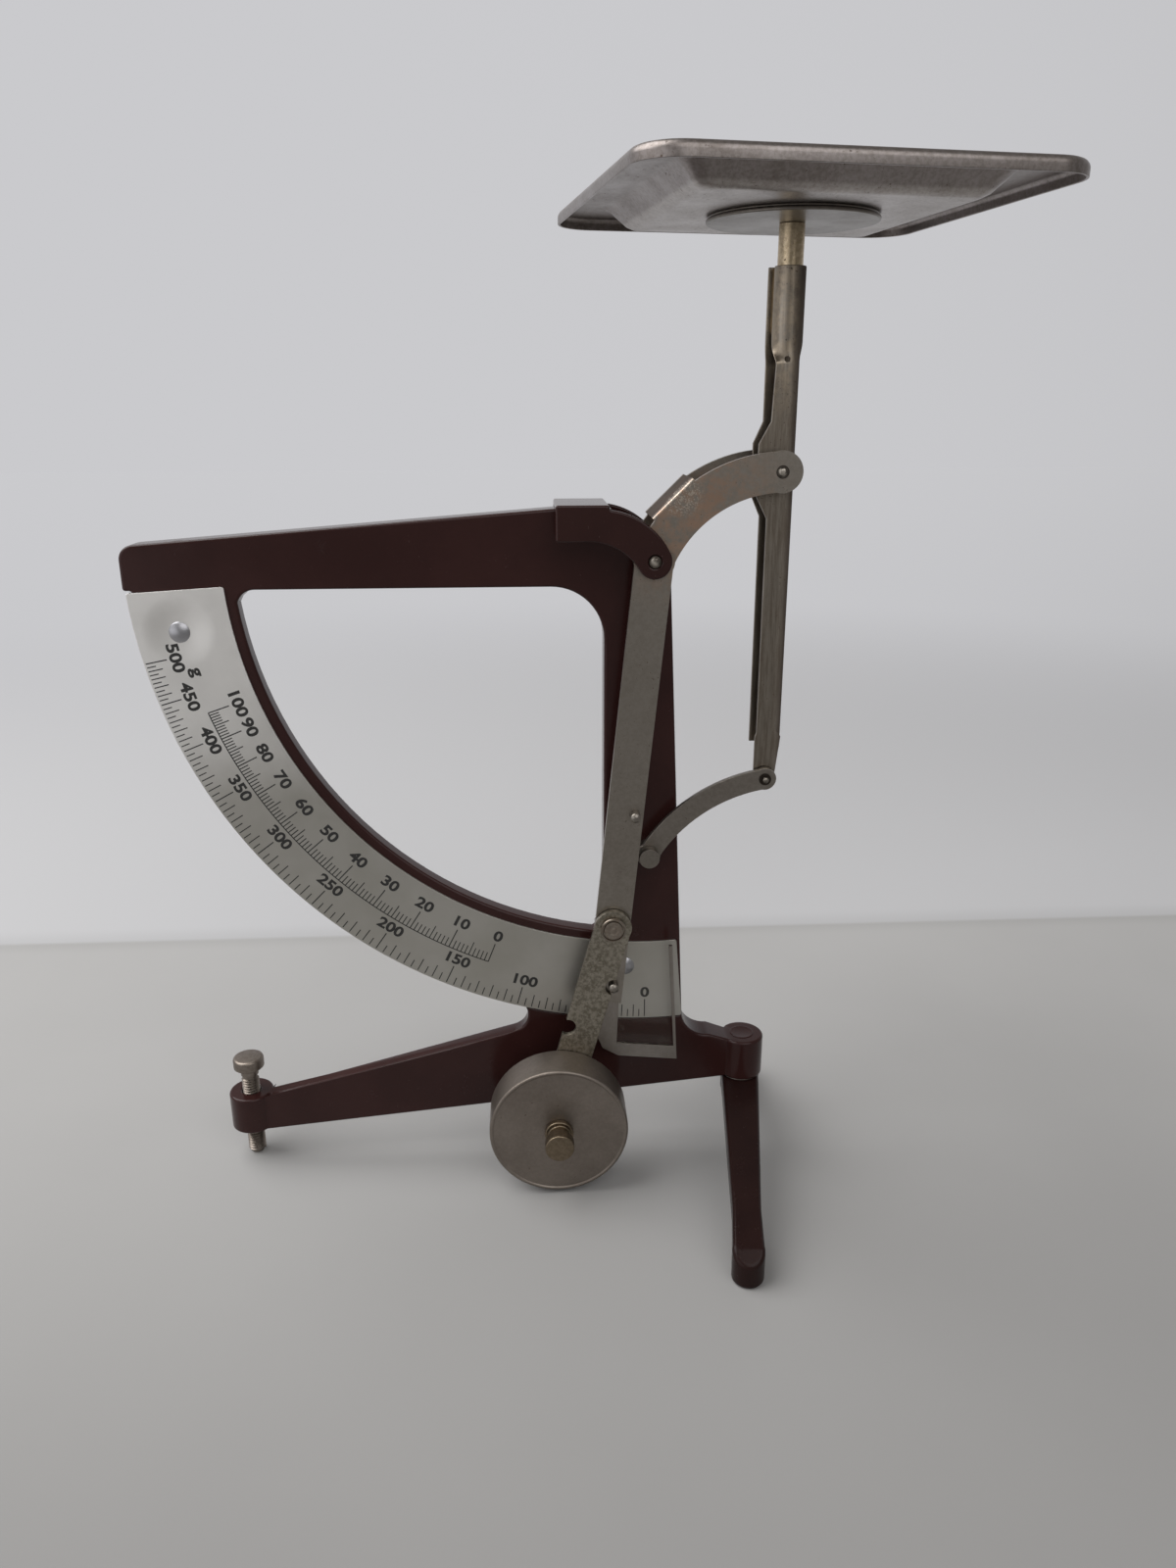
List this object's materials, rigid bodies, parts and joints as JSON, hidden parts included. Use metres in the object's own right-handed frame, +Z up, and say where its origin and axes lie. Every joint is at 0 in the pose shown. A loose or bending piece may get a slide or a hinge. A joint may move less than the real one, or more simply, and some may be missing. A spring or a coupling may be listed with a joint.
{
  "type": "postal scale",
  "caption": "Free-standing bent-lever letter scale with a curved dial, a square tray on a guided post, a flip-over weight and a levelling screw.",
  "frame": {"origin": "middle of the footprint, on the table that the screw and the cross foot stand on", "axes": "+Z up, the dial faces -Y, the tray and the cross foot are towards +X, the levelling screw towards -X"},
  "size_m": [0.2082, 0.1108, 0.2472],
  "materials": {
    "lacquer": "dark brown gloss stoving lacquer on a die casting",
    "yoke_lacquer": "dark brown gloss lacquer on sheet steel",
    "dial": "satin aluminium with printed scales",
    "rivet": "plain aluminium",
    "plated_sheet": "satin nickel plated sheet steel, a little worn",
    "plated_turned": "nickel plated turned steel",
    "tray": "satin nickel plated sheet steel, pitted in places",
    "disc": "dull nickel over brass, worn at the rim",
    "knob": "nickel over brass, worn to the brass",
    "pane": "thin clear sheet",
    "foot_lacquer": "dark brown gloss lacquer"
  },
  "bodies": {
    "stand": {"frame": "lacquer", "pivot_bracket": "yoke_lacquer", "bracket_screw": "plated_turned", "main_pivot_pin": "plated_turned", "dial_plate": "dial", "dial_rivets": "rivet", "link_frame_pin": "plated_turned", "link_spacer": "plated_turned", "foot_rivet": "foot_lacquer", "foot_washer": "plated_turned"},
    "lever": {"lever": "plated_sheet", "pivot_bush": "plated_turned", "pointer_frame": "plated_sheet", "reading_pane": "pane", "weight_rivet": "plated_turned", "lower_stop_pin": "plated_turned", "upper_stop_pin": "plated_turned", "post_pin": "plated_turned", "post_spacers": "plated_turned"},
    "weight": {"weight_arm": "plated_sheet", "counterweight": "disc", "weight_knob": "knob"},
    "post": {"post": "plated_sheet", "link_rivet": "plated_turned", "link_washer": "plated_turned"},
    "tray": {"pan_stud": "knob", "pan_support_disc": "tray", "pan_packing_disc": "tray", "pan": "tray"},
    "link": {"lower_link": "plated_sheet"},
    "screw": {"levelling_screw": "plated_turned"},
    "foot": {"cross_foot": "foot_lacquer"}
  },
  "joints": [
    {"name": "lever_swing", "type": "hinge", "parent": "stand", "child": "lever", "pos_m": [0.02208, 0.00212, 0.1672], "axis": [0, 1, 0], "range_deg": [0, 81.7]},
    {"name": "weight_flip", "type": "hinge", "parent": "lever", "child": "weight", "pos_m": [0.01269, -0.00588, 0.07317], "axis": [0, 1, 0], "range_deg": [0, 167.42]},
    {"name": "post_pivot", "type": "hinge", "parent": "lever", "child": "post", "pos_m": [0.05148, 0.00392, 0.18726], "axis": [0, 1, 0], "range_deg": [-85, 5]},
    {"name": "link_pivot", "type": "hinge", "parent": "stand", "child": "link", "pos_m": [0.02208, -0.00138, 0.0917], "axis": [0, 1, 0], "range_deg": [-5, 85]},
    {"name": "tray_turn", "type": "hinge", "parent": "post", "child": "tray", "pos_m": [0.05269, 0.00392, 0.2272], "axis": [0, 0, 1], "continuous": true},
    {"name": "level_screw", "type": "slide", "parent": "stand", "child": "screw", "axis": [0, 0, 1], "range_m": [-0.006, 0.0085]},
    {"name": "foot_swing", "type": "hinge", "parent": "stand", "child": "foot", "pos_m": [0.05028, 0.00672, 0.0172], "axis": [0, 0, 1], "range_deg": [0, 97.6]}
  ],
  "couplings": [
    {"joint": "post_pivot", "follows": "lever_swing", "ratio": -1},
    {"joint": "link_pivot", "follows": "lever_swing", "ratio": 1}
  ]
}
